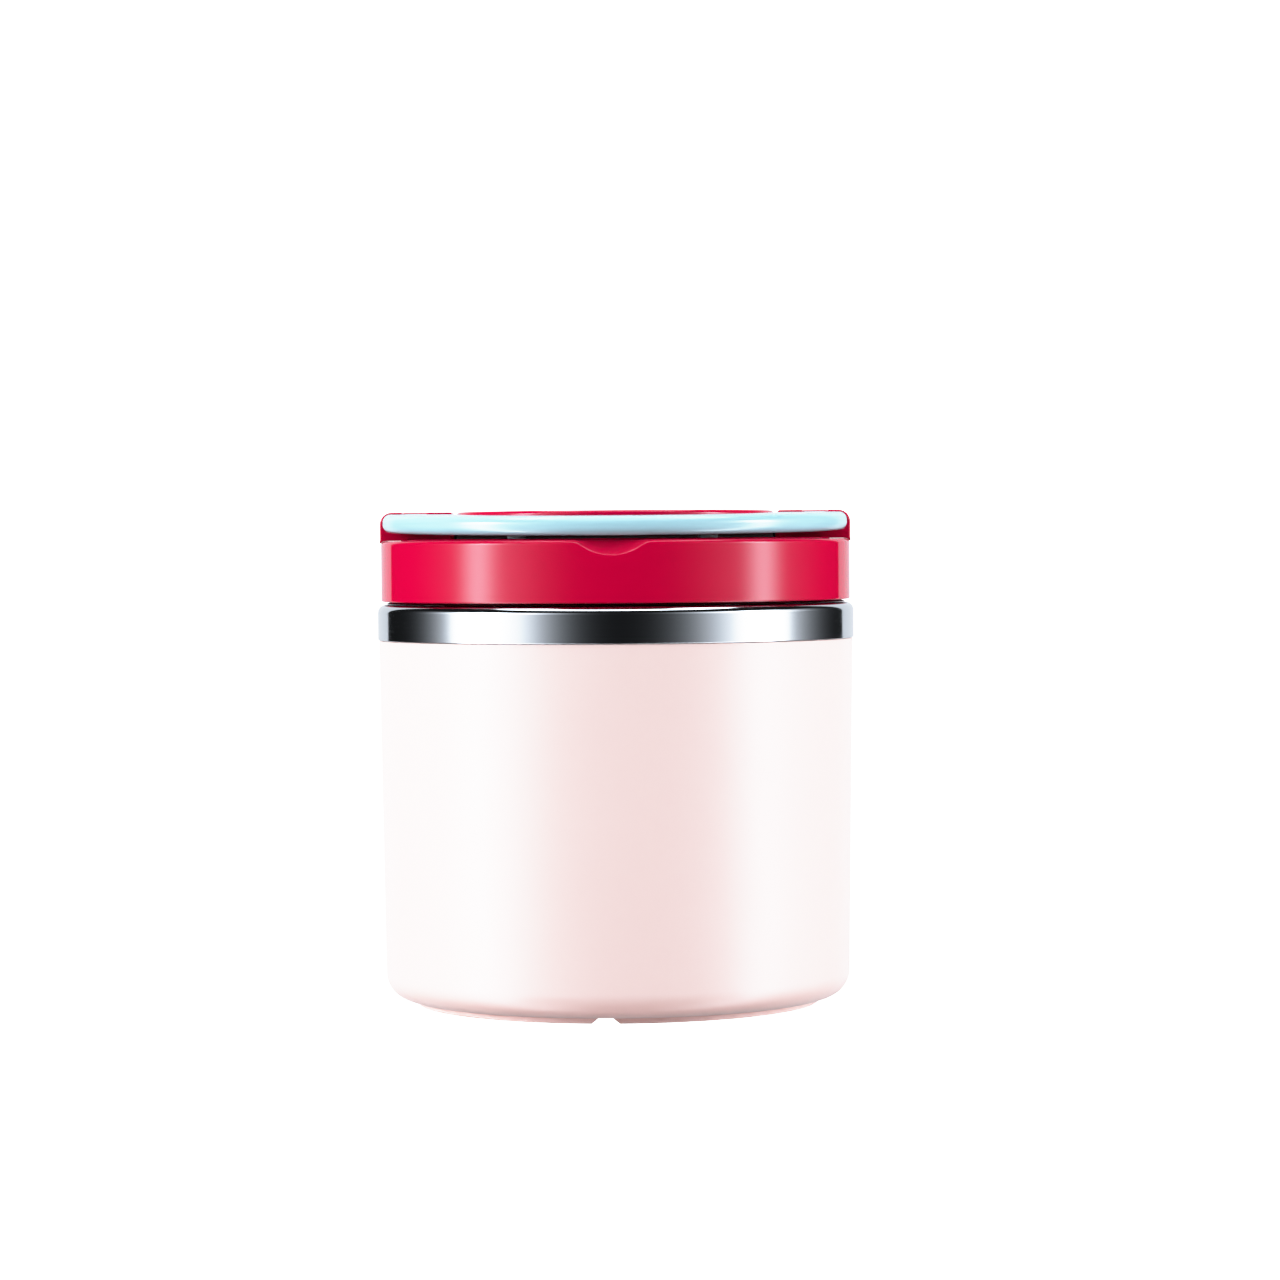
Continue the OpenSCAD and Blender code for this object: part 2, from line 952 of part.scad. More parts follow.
// The front half of the ring, with rounded tips at both ends.
module bail_outline() {
  tip_x = sqrt(pow(handle_r, 2) - pow(handle_back, 2));
  translate([0, 0, -handle_half - cut])
    linear_extrude(height = handle_thick + 2 * cut)
      difference() {
        translate([-handle_r - cut, -handle_r - cut])
          square([2 * (handle_r + cut), handle_r + cut - handle_back]);
        for (side = [-1, 1])
          corner_at(side * tip_x, -handle_back, side, handle_tip);
      }
}

// Rounds one rear corner of the handle's outline.
module corner_at(x, y, side, r) {
  corner(x + side * 0.2, y, side, 1, r);
}

// ---- dasher ----

module dasher_frame() {
  color(soft_white)
    difference() {
      union() {
        bar(dash_hub_r, dash_top - bar_height - 2, dash_hub_top);
        bar(dash_hub_r, dash_low, pin_stem_top + 3);
        for (z = [dash_low, dash_top - bar_height])
          block([-bar_reach, -blade_thick / 2, z], [bar_reach, blade_thick / 2, z + bar_height]);
        for (a = [0, 180])
          rotate([0, 0, a]) {
            blade(dash_r - 3, 38);
            blade(inner_blade_r, -42);
          }
      }
      bar(socket_r + seat, socket_low, dash_hub_top + cut);
      bar(pin_stem_r + run, dash_low - cut, pin_stem_top + 0.5);
      for (a = [0, 180])
        rotate([0, 0, a])
          scraper_groove();
    }
}

// One upright blade set at an angle to the frame.
module blade(r, turn) {
  translate([r, 0, 0])
    rotate([0, 0, turn])
      block(
        [-blade_depth / 2, -blade_thick / 2, dash_low],
        [blade_depth / 2, blade_thick / 2, dash_top]
      );
}

module scraper_groove() {
  block(
    [scraper_in - 0.1, -scraper_thick / 2 - 0.05, dash_low - cut],
    [dash_r + 10, scraper_thick / 2 + 0.05, dash_top + cut]
  );
}

module scraper(turn) {
  color(seal_grey)
    rotate([0, 0, turn])
      block([scraper_in, -scraper_thick / 2, dash_low + 5], [scraper_out, scraper_thick / 2, dash_top]);
}

module hub_socket() {
  color(steel)
    difference() {
      bar(socket_r, socket_low + 0.02, dash_hub_top);
      translate([0, 0, socket_low - cut])
        cylinder(r = hex_r + hex_slack, h = dash_hub_top - socket_low + 2 * cut, $fn = 6);
    }
}

outer_shell();
foot_ring();
base_plate();
base_screw(1);  // base_screw_1
base_screw(2);  // base_screw_2
base_screw(3);  // base_screw_3
insulation();
inner_liner();
bowl_cushion();
bowl_rim();
rim_core();
bowl_inner();
bowl_outer();
coolant();
fill_plug();
centre_pin();
lid_shell();
lid_plate();
lid_foam();
lid_seal();
shaft_bush();
shaft_seal();
glide_ring();
lid_screw(1);  // lid_screw_1
lid_screw(2);  // lid_screw_2
lid_screw(3);  // lid_screw_3
lid_screw(4);  // lid_screw_4
top_cap();
hub_cover();
cap_screw();
drive_shaft();
shaft_clip();
pivot_pin(-1);  // pivot_pin_left
pivot_pin(1);  // pivot_pin_right
bumper(-1);  // bumper_left
bumper(1);  // bumper_right
bail_handle();
dasher_frame();
hub_socket();
scraper(180);  // scraper_left
scraper(0);  // scraper_right
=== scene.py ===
"""Ice cream maker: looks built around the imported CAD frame. Metres, +Z up, front at -Y."""

import json
import math

import bpy
from mathutils import Matrix, Vector


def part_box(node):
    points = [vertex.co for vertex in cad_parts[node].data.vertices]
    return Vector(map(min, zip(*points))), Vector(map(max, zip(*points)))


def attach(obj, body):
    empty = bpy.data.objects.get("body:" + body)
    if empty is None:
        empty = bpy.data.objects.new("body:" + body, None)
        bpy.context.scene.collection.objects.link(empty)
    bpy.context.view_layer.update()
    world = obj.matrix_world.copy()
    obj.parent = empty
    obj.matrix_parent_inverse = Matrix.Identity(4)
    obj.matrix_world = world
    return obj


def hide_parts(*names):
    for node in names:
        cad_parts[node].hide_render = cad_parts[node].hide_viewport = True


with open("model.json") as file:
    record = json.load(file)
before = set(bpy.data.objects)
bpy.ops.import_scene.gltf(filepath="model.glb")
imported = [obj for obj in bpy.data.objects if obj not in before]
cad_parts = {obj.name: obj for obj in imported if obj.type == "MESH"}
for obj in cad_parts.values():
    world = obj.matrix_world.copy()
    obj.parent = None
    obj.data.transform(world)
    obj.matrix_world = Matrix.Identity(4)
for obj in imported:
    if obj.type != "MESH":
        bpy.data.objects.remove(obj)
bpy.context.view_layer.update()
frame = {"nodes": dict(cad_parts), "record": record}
MM = 0.001

# ---------------------------------------------------------------- dimensions
shell_lo, shell_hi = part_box("outer_shell")
foot_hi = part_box("foot_ring")[1]
rim_lo, rim_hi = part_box("bowl_rim")
lid_lo, lid_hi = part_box("lid_shell")
cap_lo, cap_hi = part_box("top_cap")
cover_lo, cover_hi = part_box("hub_cover")
pin_lo, pin_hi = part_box("pivot_pin_right")

DRAFT = math.radians(0.8)

LID_EDGE = 1.4 * MM
LID_RECESS_R = 68.7 * MM

CAP_R = cap_hi.x
CAP_TOP = cap_hi.z
PIVOT_Z = (pin_lo.z + pin_hi.z) / 2
HUB_R = 50.6 * MM
CHEEK_IN = HUB_R + 1.2 * MM
CHEEK_HALF = 7.5 * MM
CHEEK_TOP_EDGE = 3.8 * MM
CHEEK_SIDE_EDGE = 0.45 * MM

HANDLE_R = 74.3 * MM
HANDLE_IN = 53 * MM
HANDLE_T = 5.8 * MM
HANDLE_TILT = math.radians(1.3)
HANDLE_BACK = 8.7 * MM
ARM_IN, ARM_OUT = 60 * MM, 67 * MM
SLOT_SIDE, SLOT_BACK, SLOT_UNDER = 0.4 * MM, 0.5 * MM, 0.7 * MM


# ---------------------------------------------------------------- mesh helpers
def new_object(name, verts, faces):
    mesh = bpy.data.meshes.new(name)
    mesh.from_pydata([tuple(v) for v in verts], [], faces)
    mesh.validate()
    mesh.update()
    for poly in mesh.polygons:
        poly.use_smooth = True
    mesh.set_sharp_from_angle(angle=math.radians(35))
    obj = bpy.data.objects.new(name, mesh)
    bpy.context.scene.collection.objects.link(obj)
    return obj


def joined(name, parts):
    verts, faces = [], []
    for part_verts, part_faces in parts:
        base = len(verts)
        verts += part_verts
        faces += [tuple(base + i for i in face) for face in part_faces]
    return new_object(name, verts, faces)


def rounded(corners, steps):
    """A closed outline from (x, y, radius) corners, each rounded by an arc."""
    no_radius, no_bend = 1e-7, 1e-4
    out = []
    for i, (x, y, radius) in enumerate(corners):
        corner = Vector((x, y))
        before = (Vector(corners[i - 1][:2]) - corner).normalized()
        after = (Vector(corners[(i + 1) % len(corners)][:2]) - corner).normalized()
        half = before.angle(after) / 2
        if radius < no_radius or abs(half - math.pi / 2) < no_bend:
            out.append(tuple(corner))
            continue
        back = radius / math.tan(half)
        centre = corner + (before + after).normalized() * (radius / math.sin(half))
        start = (corner + before * back) - centre
        end = (corner + after * back) - centre
        sweep = start.angle_signed(end)
        for k in range(steps + 1):
            turn = Matrix.Rotation(-sweep * k / steps, 2)
            out.append(tuple(centre + turn @ start))
    return out


def densify(points, limit, wanted):
    """Splits the long edges of an outline where wanted(point) is true."""
    out = []
    for i, here in enumerate(points):
        there = points[(i + 1) % len(points)]
        out.append(here)
        length = math.dist(here, there)
        if length > limit and wanted(here) and wanted(there):
            count = math.ceil(length / limit)
            for k in range(1, count):
                part = k / count
                out.append(tuple(a + (b - a) * part for a, b in zip(here, there)))
    return out


def even_angles(count):
    return [2 * math.pi * i / count for i in range(count)]


def on_circle(r, angle):
    """A point of a circle. Angles run from the front (-Y) towards +X."""
    return r * math.sin(angle), -r * math.cos(angle)


def side_faces(rings, size, around=False, flip=False):
    """Faces between neighbouring rings of size points. If around, the last ring meets the first."""
    faces = []
    for i in range(rings if around else rings - 1):
        low, high = i * size, (i + 1) % rings * size
        for k in range(size):
            after = (k + 1) % size
            if flip:
                faces.append((low + k, low + after, high + after, high + k))
            else:
                faces.append((low + k, high + k, high + after, low + after))
    return faces


def turned(outline, angles):
    """A closed (radius, z) outline turned about Z."""
    verts = [(*on_circle(r, a), z) for a in angles for r, z in outline]
    return verts, side_faces(len(angles), len(outline), around=True)


def lathe(name, outline, angles):
    return new_object(name, *turned(outline, angles))


def swept(sections):
    """A body with closed ends from (x, y, z) sections of equal length."""
    size = len(sections[0])
    verts = [point for section in sections for point in section]
    faces = side_faces(len(sections), size)
    faces.append(tuple(range(size)))
    faces.append(tuple(len(verts) - size + k for k in reversed(range(size))))
    return verts, faces


def sector(outline, spread, first, last, steps):
    """Part of a turned ring. spread(r, z) is the angle that each end is pulled in by."""
    sections = []
    for i in range(steps + 1):
        part = i / steps
        section = []
        for r, z in outline:
            start, end = first + spread(r, z), last - spread(r, z)
            section.append((*on_circle(r, start + (end - start) * part), z))
        sections.append(section)
    return swept(sections)


def stack(layers):
    """A closed body from outlines of equal length at rising heights: [(z, [(x, y), ...]), ...]."""
    size = len(layers[0][1])
    verts = [(x, y, z) for z, ring in layers for x, y in ring]
    faces = [tuple(reversed(range(size)))]
    faces += side_faces(len(layers), size, flip=True)
    faces.append(tuple(len(verts) - size + k for k in range(size)))
    return verts, faces


def mirrored(layers, side):
    """Layers drawn for the right side (1), or their mirror image on the left (-1)."""
    if side > 0:
        return layers
    return [(z, [(-x, y) for x, y in reversed(ring)]) for z, ring in layers]


def edge_inset(z, low, high, r_low, r_high):
    """How far a rounded edge pulls a side in at height z."""
    if r_high and z > high - r_high:
        return r_high - math.sqrt(max(r_high**2 - (z - high + r_high) ** 2, 0))
    if r_low and z < low + r_low:
        return r_low - math.sqrt(max(r_low**2 - (low + r_low - z) ** 2, 0))
    return 0.0


def heights(low, high, *roundings):
    """Rising levels that follow (r_low, r_high, steps) roundings of a body's lower and upper edges."""
    levels = set()
    for r_low, r_high, steps in roundings:
        for k in range(steps + 1):
            turn = math.pi / 2 * k / steps
            levels.add(low + r_low * (1 - math.cos(turn)))
            levels.add(high - r_high + r_high * math.sin(turn))
    return sorted(levels)


# ---------------------------------------------------------------- node helpers
# Noise scales, per metre: slow tone changes, moulding waviness, uneven polish and skin texture.
FLOW, WAVE, POLISH, SKIN = 14, 45, 120, 1500


def put(tree, socket, value):
    """Links a socket to another, or gives it a plain value."""
    if isinstance(value, bpy.types.NodeSocket):
        tree.links.new(value, socket)
    else:
        socket.default_value = value


def math_node(tree, operation, a, b=0.0, c=0.0):
    node = tree.nodes.new("ShaderNodeMath")
    node.operation = operation
    for socket, value in zip(node.inputs, (a, b, c)):
        put(tree, socket, value)
    return node.outputs[0]


def base_material(name):
    mat = bpy.data.materials.new(name)
    mat.use_nodes = True
    tree = mat.node_tree
    bsdf = tree.nodes["Principled BSDF"]
    coord = tree.nodes.new("ShaderNodeTexCoord")
    return mat, tree, bsdf, coord.outputs["Object"]


def noise(tree, vector, scale, detail, rough=0.55, stretch=None):
    if stretch:
        mapping = tree.nodes.new("ShaderNodeMapping")
        mapping.inputs["Scale"].default_value = stretch
        tree.links.new(vector, mapping.inputs["Vector"])
        vector = mapping.outputs["Vector"]
    node = tree.nodes.new("ShaderNodeTexNoise")
    node.inputs["Scale"].default_value = scale
    node.inputs["Detail"].default_value = detail
    node.inputs["Roughness"].default_value = rough
    tree.links.new(vector, node.inputs["Vector"])
    return node.outputs["Fac"]


def remap(tree, value, low, high, from_low=0.3, from_high=0.7):
    """Spreads a value over low to high. Most noise lies between 0.3 and 0.7."""
    node = tree.nodes.new("ShaderNodeMapRange")
    node.inputs["From Min"].default_value = from_low
    node.inputs["From Max"].default_value = from_high
    node.inputs["To Min"].default_value = low
    node.inputs["To Max"].default_value = high
    tree.links.new(value, node.inputs["Value"])
    return node.outputs["Result"]


def mixed(tree, factor, a, b):
    node = tree.nodes.new("ShaderNodeMix")
    node.data_type = "RGBA"
    put(tree, node.inputs["Factor"], factor)
    put(tree, node.inputs["A"], a)
    put(tree, node.inputs["B"], b)
    return node.outputs["Result"]


def two_tone(tree, value, dark, light):
    """Noise turned into a colour between two tones."""
    return mixed(tree, remap(tree, value, 0, 1), (*dark, 1), (*light, 1))


def scaled(colour, factor):
    return tuple(min(c * factor, 1) for c in colour)


def bump(tree, bsdf, layers):
    """Chains bumps given as (height socket, distance in metres, strength)."""
    last = None
    for height, distance, strength in layers:
        node = tree.nodes.new("ShaderNodeBump")
        node.inputs["Distance"].default_value = distance
        node.inputs["Strength"].default_value = strength
        tree.links.new(height, node.inputs["Height"])
        if last:
            tree.links.new(last, node.inputs["Normal"])
        last = node.outputs["Normal"]
    tree.links.new(last, bsdf.inputs["Normal"])


# ---------------------------------------------------------------- materials
def moulded(name, colour, rough, tone, grain, spread=0.05, specular=0.5, streak=None):
    """Moulded plastic: faint flow tones, uneven polish, fine skin texture and a little waviness."""
    mat, tree, bsdf, at = base_material(name)
    flow = noise(tree, at, FLOW, 3, stretch=streak)
    tones = two_tone(tree, flow, scaled(colour, 1 - tone), scaled(colour, 1 + tone))
    polish = remap(tree, noise(tree, at, POLISH, 5), rough - spread, rough + spread)
    tree.links.new(tones, bsdf.inputs["Base Color"])
    tree.links.new(polish, bsdf.inputs["Roughness"])
    bsdf.inputs["Specular IOR Level"].default_value = specular
    wave, skin = noise(tree, at, WAVE, 2), noise(tree, at, SKIN, 3, 0.6)
    bump(tree, bsdf, [(wave, 0.06 * MM, 0.25), (skin, 0.03 * MM, grain)])
    return mat


def stepped_cap(name, dark, light, channel, specular):
    """The cap's gloss, which turns rougher and near black, a painted shade, in the low channel under the
    handle.
    """
    mat, tree, bsdf, at = base_material(name)
    tones = two_tone(tree, noise(tree, at, FLOW, 3), dark, light)
    polish = remap(tree, noise(tree, at, POLISH, 5), 0.04, 0.07)
    split = tree.nodes.new("ShaderNodeSeparateXYZ")
    tree.links.new(at, split.inputs[0])
    level = tree.nodes.new("ShaderNodeVectorMath")
    level.operation = "MULTIPLY"
    level.inputs[1].default_value = (1, 1, 0)
    tree.links.new(at, level.inputs[0])
    radius = tree.nodes.new("ShaderNodeVectorMath")
    radius.operation = "LENGTH"
    tree.links.new(level.outputs["Vector"], radius.inputs[0])
    # Painted shade: below the pivot and inside the cheeks, where the handle shadows the channel, the
    # colour is mixed to near black; the same mask also raises the roughness.
    low = remap(tree, split.outputs["Z"], 1, 0, PIVOT_Z - 3.4 * MM, PIVOT_Z - 1.4 * MM)
    inside = remap(tree, radius.outputs["Value"], 1, 0, CHEEK_IN - 0.6 * MM, CHEEK_IN)
    shade_and_matt = math_node(tree, "MULTIPLY", low, inside)
    tree.links.new(mixed(tree, shade_and_matt, tones, (*channel, 1)), bsdf.inputs["Base Color"])
    tree.links.new(math_node(tree, "MULTIPLY_ADD", shade_and_matt, 0.8, polish), bsdf.inputs["Roughness"])
    bsdf.inputs["Specular IOR Level"].default_value = specular
    wave, skin = noise(tree, at, WAVE, 2), noise(tree, at, SKIN, 3)
    bump(tree, bsdf, [(wave, 0.06 * MM, 0.1), (skin, 0.03 * MM, 0.01)])
    return mat


def polished_metal(name, colour, rough, spread, lines, turned_lines=True):
    """Metal with fine lines left by polishing, round the axis or along it."""
    mat, tree, bsdf, at = base_material(name)
    bsdf.inputs["Metallic"].default_value = 1.0
    stretch = (2, 2, 700) if turned_lines else (700, 700, 12)
    grain = noise(tree, at, 4, 3, 0.5, stretch)
    smear = noise(tree, at, 30, 4)
    tree.links.new(two_tone(tree, smear, scaled(colour, 0.96), colour), bsdf.inputs["Base Color"])
    tree.links.new(remap(tree, grain, rough - spread, rough + spread), bsdf.inputs["Roughness"])
    bump(tree, bsdf, [(grain, 0.004 * MM, lines)])
    return mat


def soft_rubber(name, colour):
    mat, tree, bsdf, at = base_material(name)
    speck = noise(tree, at, 700, 4, 0.6)
    dust = noise(tree, at, 60, 5)
    tree.links.new(two_tone(tree, dust, scaled(colour, 0.85), colour), bsdf.inputs["Base Color"])
    tree.links.new(remap(tree, speck, 0.6, 0.85), bsdf.inputs["Roughness"])
    bsdf.inputs["Sheen Weight"].default_value = 0.15
    bump(tree, bsdf, [(speck, 0.05 * MM, 0.3)])
    return mat


def foamed(name, colour):
    mat, tree, bsdf, at = base_material(name)
    voronoi = tree.nodes.new("ShaderNodeTexVoronoi")
    voronoi.inputs["Scale"].default_value = 420
    tree.links.new(at, voronoi.inputs["Vector"])
    cells = voronoi.outputs["Distance"]
    shade = remap(tree, cells, 0, 1, 0, 0.6)
    tree.links.new(mixed(tree, shade, (*scaled(colour, 0.8), 1), (*colour, 1)), bsdf.inputs["Base Color"])
    bsdf.inputs["Roughness"].default_value = 0.95
    bump(tree, bsdf, [(cells, 0.4 * MM, 0.5)])
    return mat


def gelled(name, colour):
    mat, tree, bsdf, at = base_material(name)
    swirl = noise(tree, at, 25, 5)
    tree.links.new(two_tone(tree, swirl, colour, scaled(colour, 1.25)), bsdf.inputs["Base Color"])
    tree.links.new(remap(tree, swirl, 0.08, 0.2), bsdf.inputs["Roughness"])
    bsdf.inputs["Subsurface Weight"].default_value = 0.3
    bsdf.inputs["Subsurface Scale"].default_value = 4 * MM
    bump(tree, bsdf, [(swirl, 0.3 * MM, 0.3)])
    return mat


CRIMSON_SPECULAR = 0.28
CAP_RED = stepped_cap(
    "crimson_cap",
    dark=(0.363, 0.0002, 0.026),
    light=(0.383, 0.0002, 0.028),
    # The channel colour is a painted shade for the channel under the handle.
    channel=(0.012, 0.0002, 0.0008),
    specular=CRIMSON_SPECULAR,
)
BY_SLOT = {
    "body_pink": moulded("satin_pink", (0.67, 0.53, 0.50), rough=0.36, tone=0.008, grain=0.12),
    "foot_pink": moulded("foot_pink", (0.93, 0.67, 0.62), rough=0.6, tone=0.03, grain=0.3),
    "crimson": moulded(
        "gloss_crimson",
        (0.373, 0.0002, 0.027),
        rough=0.045,
        tone=0.02,
        grain=0.01,
        spread=0.012,
        specular=CRIMSON_SPECULAR,
    ),
    "dark_red": moulded("satin_dark_red", (0.05, 0.0003, 0.003), rough=0.35, tone=0.04, grain=0.1),
    "light_blue": moulded(
        "gloss_light_blue",
        (0.265, 0.46, 0.525),
        rough=0.16,
        tone=0.07,
        grain=0.03,
        spread=0.03,
        streak=(1, 1, 40),
    ),
    "screw_steel": polished_metal(
        "plain_steel", (0.60, 0.61, 0.63), rough=0.25, spread=0.08, lines=0.2, turned_lines=False
    ),
    "polished_steel": polished_metal(
        "polished_steel", (0.58, 0.60, 0.62), rough=0.09, spread=0.03, lines=0.05
    ),
    "bowl_metal": polished_metal("spun_aluminium", (0.72, 0.73, 0.74), rough=0.28, spread=0.05, lines=0.1),
    "foam_grey": foamed("insulating_foam", (0.72, 0.70, 0.60)),
    "soft_white": moulded("natural_white", (0.80, 0.80, 0.77), rough=0.42, tone=0.03, grain=0.15),
    "seal_grey": soft_rubber("grey_silicone", (0.27, 0.28, 0.30)),
    "gel_blue": gelled("coolant_gel", (0.16, 0.38, 0.62)),
}
for part in frame["record"]["subparts"]:
    cad = frame["nodes"][part["node"]]
    cad.data.materials.clear()
    cad.data.materials.append(BY_SLOT[part["material_slot"]])


def finish_piece(obj, body, slot, *nodes, look=None):
    """Gives a piece its material and its body, and lets it stand for CAD nodes."""
    obj.data.materials.append(look or BY_SLOT[slot])
    normals = obj.modifiers.new("weighted_normals", "WEIGHTED_NORMAL")
    normals.keep_sharp = True
    normals.weight = 60
    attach(obj, body)
    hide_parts(*nodes)


# ---------------------------------------------------------------- housing
def make_shell():
    r_top, z0, z1 = shell_hi.x, shell_lo.z, shell_hi.z
    wall, floor, corner, hole = 2.4 * MM, 2.6 * MM, 8 * MM, 38 * MM
    r_low = r_top - (z1 - z0) * math.tan(DRAFT)
    in_low = r_top - wall - (z1 - z0 - floor) * math.tan(DRAFT)
    outline = rounded(
        [
            (hole, z0, 0.2 * MM),
            (r_low, z0, corner),
            (r_top, z1, 0.35 * MM),
            (r_top - wall, z1, 0.25 * MM),
            (in_low, z0 + floor, corner - wall),
            (hole, z0 + floor, 0.2 * MM),
        ],
        steps=12,
    )
    outline = densify(outline, 6 * MM, lambda p: p[0] > 60 * MM)
    finish_piece(lathe("body_shell", outline, even_angles(320)), "housing", "body_pink", "outer_shell")


def make_foot():
    r, width, count = foot_hi.x, 6 * MM, 4
    top = shell_lo.z - 0.05 * MM
    outline = rounded(
        [
            (r - width, 0, 0.4 * MM),
            (r, 0, 0.5 * MM),
            (r, top, 0.1 * MM),
            (r - width, top, 0.1 * MM),
        ],
        steps=5,
    )
    half, lean, lean_height = 4.3 * MM, 2.2 * MM, 1.6 * MM

    def spread(radius, z):
        """Half of a notch: a low arch whose sides ease into its flat top."""
        up = min(z / lean_height, 1)
        return math.asin((half - lean * up * (0.6 + 0.4 * up)) / radius)

    parts = []
    for i in range(count):
        first = math.radians(-2.6) + i * 2 * math.pi / count
        parts.append(sector(outline, spread, first, first + 2 * math.pi / count, 72))
    finish_piece(joined("foot_band", parts), "housing", "foot_pink", "foot_ring")


# ---------------------------------------------------------------- freezer bowl
def make_rim():
    r, z0, z1 = rim_hi.x, rim_lo.z, rim_hi.z
    sheet, edge, inner = 1.2 * MM, 2.6 * MM, 61.05 * MM
    outline = rounded(
        [
            (r - sheet, z0, 0.2 * MM),
            (r, z0, 0.2 * MM),
            (r, z1, edge),
            (inner, z1, 0.2 * MM),
            (inner, z1 - sheet, 0.2 * MM),
            (r - sheet, z1 - sheet, edge - sheet),
        ],
        steps=14,
    )
    finish_piece(lathe("rim_band", outline, even_angles(320)), "bowl", "polished_steel", "bowl_rim")


# ---------------------------------------------------------------- lid
def press_scoop(obj, lowest):
    """Presses the thumb scoop into the lid's wall with a ball, its edge eased over a short distance."""
    width, drop, reach, ease = 25 * MM, 4.6 * MM, 5 * MM, 0.6 * MM
    trace = ((width / 2) ** 2 + drop**2) / (2 * drop)
    out = ((width / 2) ** 2 - reach**2) / (2 * reach)
    ball = math.hypot(trace, out)
    centre = Vector((0, -lid_hi.x - out, lid_hi.z - drop + trace))
    for v in obj.data.vertices:
        away = v.co - centre
        gap = away.length - ball
        on_wall = v.co.z > lowest and math.hypot(v.co.x, v.co.y) > LID_RECESS_R - 1 * MM
        if on_wall and gap < 4 * ease:
            pushed = ball + (gap + math.sqrt(gap * gap + ease * ease)) / 2
            v.co = centre + away * (pushed / away.length)
    obj.data.update()


def make_lid():
    r, z0, z1 = lid_hi.x, lid_lo.z, lid_hi.z
    inner = r - 3.2 * MM
    floor = z1 - 2.8 * MM
    roof = floor - 3 * MM
    groove_in, groove_out, groove = 57.9 * MM, 64.1 * MM, floor - 1 * MM
    bore, flange_r, flange = 11.6 * MM, 13.1 * MM, floor - 2.1 * MM
    near = z1 - 7 * MM
    outline = rounded(
        [
            (inner, z0, 0.2 * MM),
            (r, z0, 0.5 * MM),
            (r, near, 0),
            (r, z1, LID_EDGE),
            (LID_RECESS_R, z1, 0.35 * MM),
            (LID_RECESS_R, floor, 0.3 * MM),
            (groove_out, floor, 0.1 * MM),
            (groove_out, groove, 0),
            (groove_in, groove, 0),
            (groove_in, floor, 0.1 * MM),
            (flange_r, floor, 0.1 * MM),
            (flange_r, flange, 0),
            (bore, flange, 0),
            (bore, roof, 0.2 * MM),
            (inner, roof, 0.8 * MM),
        ],
        steps=10,
    )
    # The wall is fine enough near the scoop, in height and round the front, to take its curve.
    tiny = 0.001 * MM
    outline = densify(outline, 0.22 * MM, lambda p: p[1] > near - tiny and p[0] > LID_RECESS_R - tiny)
    fine, fine_steps, steps = math.radians(13), 180, 260
    rest = 2 * math.pi - 2 * fine
    angles = [-fine + 2 * fine * i / fine_steps for i in range(fine_steps + 1)]
    angles += [fine + rest * i / steps for i in range(1, steps)]
    obj = lathe("lid_body", outline, angles)
    press_scoop(obj, near - 2 * MM)
    finish_piece(obj, "lid", "crimson", "lid_shell")


# ---------------------------------------------------------------- cap
def cheek_outline(arc_in, side_in, slotted):
    """A side block of the cap from above, its outer arc and its straight sides pulled in."""
    r, y = CAP_R - arc_in, CHEEK_HALF - side_in
    x_end = math.sqrt(r * r - y * y)
    corners = [(CHEEK_IN + side_in, y, 0.7 * MM), (CHEEK_IN + side_in, -y, 0.7 * MM)]
    if slotted:
        slot_in, slot_out = ARM_IN - SLOT_SIDE - side_in, ARM_OUT + SLOT_SIDE + side_in
        slot_y = HANDLE_T / 2 + SLOT_BACK + side_in
        corners += [
            (slot_in, -y, 0.5 * MM),
            (slot_in, slot_y, 0.3 * MM),
            (slot_out, slot_y, 0.3 * MM),
            (slot_out, -y, 0.5 * MM),
        ]
    ring = rounded(corners + [(x_end, -y, 0.6 * MM), (x_end, y, 0.6 * MM)], steps=5)
    # The straight outer side becomes the arc of the cap's outline.
    first = max(range(len(ring)), key=lambda i: (round(ring[i][0], 7), -ring[i][1]))
    x_a, y_a = ring[first]
    steps = 24
    arc = []
    for k in range(1, steps):
        y_k = y_a * (1 - 2 * k / steps)
        arc.append((x_a + math.sqrt(r * r - y_k * y_k) - math.sqrt(r * r - y_a * y_a), y_k))
    return ring[: first + 1] + arc + ring[first + 1 :]


def cheek_base(side, low, high):
    """The part under the slot, a hair narrower, so that it overlaps the head without shared faces."""
    hair, overlap = 0.02 * MM, 0.05 * MM
    ring = cheek_outline(hair, hair, False)
    return stack(mirrored([(low, ring), (high + overlap, ring)], side))


def cheek_head(side, low, high):
    """The slotted part, with rounded edges."""
    layers = []
    for z in heights(low, high, (0, CHEEK_TOP_EDGE, 10), (0, CHEEK_SIDE_EDGE, 5)):
        arc_in = edge_inset(z, low, high, 0, CHEEK_TOP_EDGE)
        side_in = edge_inset(z, low, high, 0, CHEEK_SIDE_EDGE)
        layers.append((z, cheek_outline(arc_in, side_in, True)))
    return stack(mirrored(layers, side))


def cheek_lip(side, top):
    """The thin lower edge of a side block, which follows the lid's rounded edge a small gap away."""
    clear, low, steps = LID_EDGE + 0.1 * MM, lid_hi.z - 0.7 * MM, 8
    corner_r, corner_z = lid_hi.x - LID_EDGE, lid_hi.z - LID_EDGE
    outline = [(CAP_R, low), (CAP_R, top)]
    for k in range(steps + 1):
        z = top + (low - top) * k / steps
        outline.append((corner_r + math.sqrt(max(clear**2 - (z - corner_z) ** 2, 0)), z))
    first = 0 if side > 0 else math.pi
    return sector(outline, lambda r, z: math.acos(CHEEK_HALF / r), first, first + math.pi, 24)


